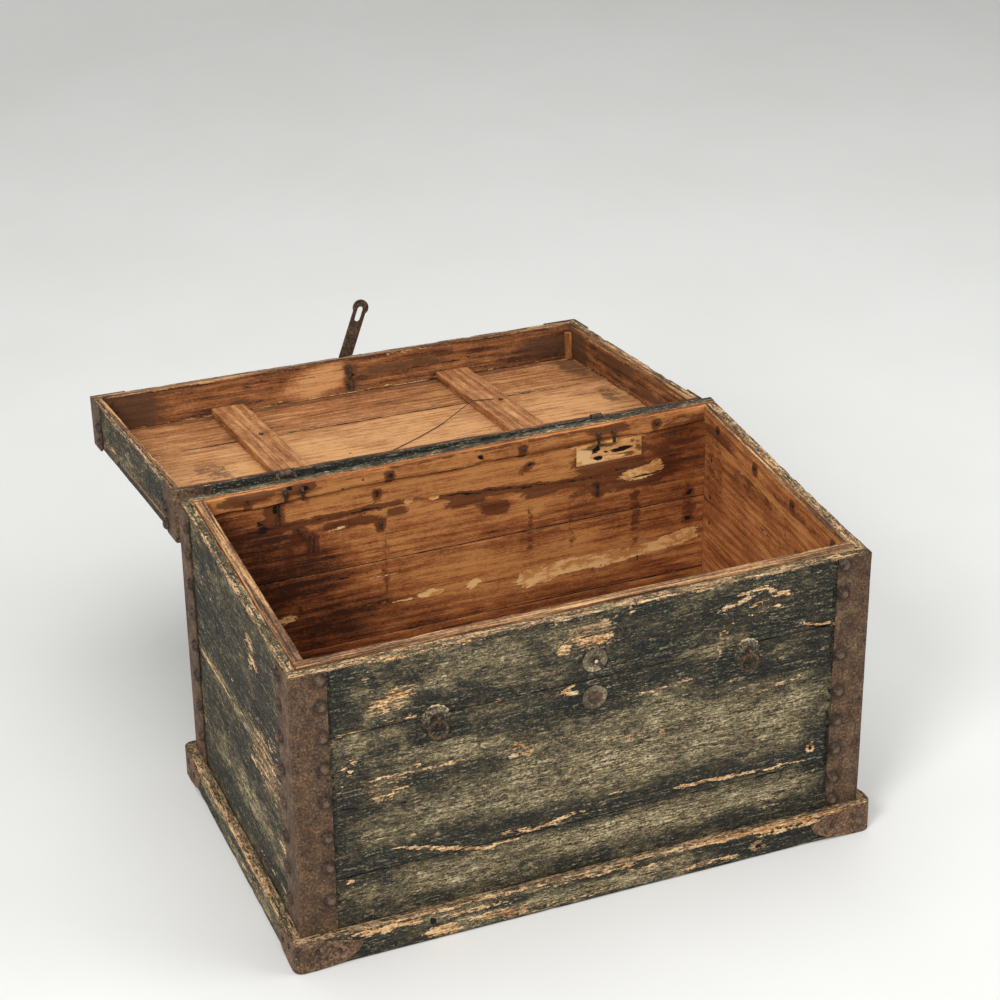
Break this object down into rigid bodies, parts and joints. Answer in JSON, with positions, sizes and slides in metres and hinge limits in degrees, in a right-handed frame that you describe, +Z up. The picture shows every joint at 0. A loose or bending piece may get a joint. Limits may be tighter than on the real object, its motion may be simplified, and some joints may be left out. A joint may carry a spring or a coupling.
{
  "type": "storage chest",
  "caption": "Iron-bound wooden storage chest with a hinged tray lid, domed studs, corner straps, ring pulls and a slotted hasp.",
  "frame": {"origin": "centre of the underside of the box, midway between its side walls and between its front and back boards", "axes": "+X to the right seen from the front, +Y from the front to the hinge side, +Z up; stored with the lid thrown back"},
  "size_m": [0.7282, 0.8828, 0.3937],
  "materials": {
    "painted_wood": "worn dark green paint over wood",
    "liner_wood": "worn bare wood with remains of green paint",
    "lid_wood": "bare, stained softwood",
    "floor_wood": "bare, dark with age",
    "patch_wood": "pale bare wood",
    "sheet_iron": "rusted brown",
    "forged_iron": "rusted dark brown",
    "pale_washer": "worn grey tan",
    "wire": "dark thin wire"
  },
  "bodies": {
    "box": {"bottom_board_front": "floor_wood", "bottom_board_back": "floor_wood", "front_plank_low": "painted_wood", "front_plank_mid": "painted_wood", "front_plank_top": "painted_wood", "back_plank_low": "painted_wood", "back_plank_mid": "painted_wood", "back_plank_top": "painted_wood", "left_plank_low": "painted_wood", "left_plank_top": "painted_wood", "right_plank_low": "painted_wood", "right_plank_top": "painted_wood", "liner_front": "liner_wood", "liner_back": "liner_wood", "liner_left": "liner_wood", "liner_right": "liner_wood", "plinth_front": "painted_wood", "plinth_back": "painted_wood", "plinth_left": "painted_wood", "plinth_right": "painted_wood", "foot_iron_front_left": "sheet_iron", "foot_iron_front_right": "sheet_iron", "foot_iron_back_left": "sheet_iron", "foot_iron_back_right": "sheet_iron", "corner_iron_front_left": "sheet_iron", "corner_iron_front_right": "sheet_iron", "corner_iron_back_left": "sheet_iron", "corner_iron_back_right": "sheet_iron", "box_studs": "forged_iron", "cut_nails": "forged_iron", "clenched_nails": "forged_iron", "repair_patch": "patch_wood", "ring_plates": "forged_iron", "ring_eyes": "forged_iron", "front_washers": "pale_washer", "lock_pin": "forged_iron", "dome_nail": "forged_iron", "hinge_staples": "forged_iron"},
    "lid": {"hinge_leaves": "sheet_iron", "lid_rail_hinge": "lid_wood", "lid_rail_front": "lid_wood", "lid_rail_left": "lid_wood", "lid_rail_right": "lid_wood", "lid_board_hinge": "lid_wood", "lid_board_front": "lid_wood", "batten_left": "lid_wood", "batten_right": "lid_wood", "lid_corner_strip": "lid_wood", "lid_iron_front_left": "sheet_iron", "lid_iron_front_right": "sheet_iron", "lid_iron_hinge_left": "sheet_iron", "lid_iron_hinge_right": "sheet_iron", "lid_studs": "forged_iron", "lid_nails": "forged_iron", "lid_wire": "wire"},
    "hasp_pin": {"hasp_pin": "forged_iron"},
    "hasp": {"hasp": "forged_iron"},
    "ring_left": {"ring_left": "forged_iron"},
    "ring_right": {"ring_right": "forged_iron"}
  },
  "joints": [
    {"name": "lid_hinge", "type": "hinge", "parent": "box", "child": "lid", "pos_m": [0, 0.21965, 0.38614], "axis": [1, 0, -0.0091], "range_deg": [0, 189.58]},
    {"name": "hasp_turn", "type": "hinge", "parent": "lid", "child": "hasp_pin", "pos_m": [0.00475, 0.64556, 0.30888], "axis": [0.0011, -0.9898, 0.1428], "range_deg": [-20, 30]},
    {"name": "hasp_swing", "type": "hinge", "parent": "hasp_pin", "child": "hasp", "pos_m": [0.00475, 0.64556, 0.30888], "axis": [-0.9203, 0.0549, 0.3874], "range_deg": [0, 150]},
    {"name": "ring_left_swing", "type": "hinge", "parent": "box", "child": "ring_left", "pos_m": [-0.184, -0.216, 0.2885], "axis": [-1, 0, 0], "range_deg": [-8, 150]},
    {"name": "ring_right_swing", "type": "hinge", "parent": "box", "child": "ring_right", "pos_m": [0.194, -0.216, 0.283], "axis": [-1, 0, 0], "range_deg": [-8, 150]}
  ]
}
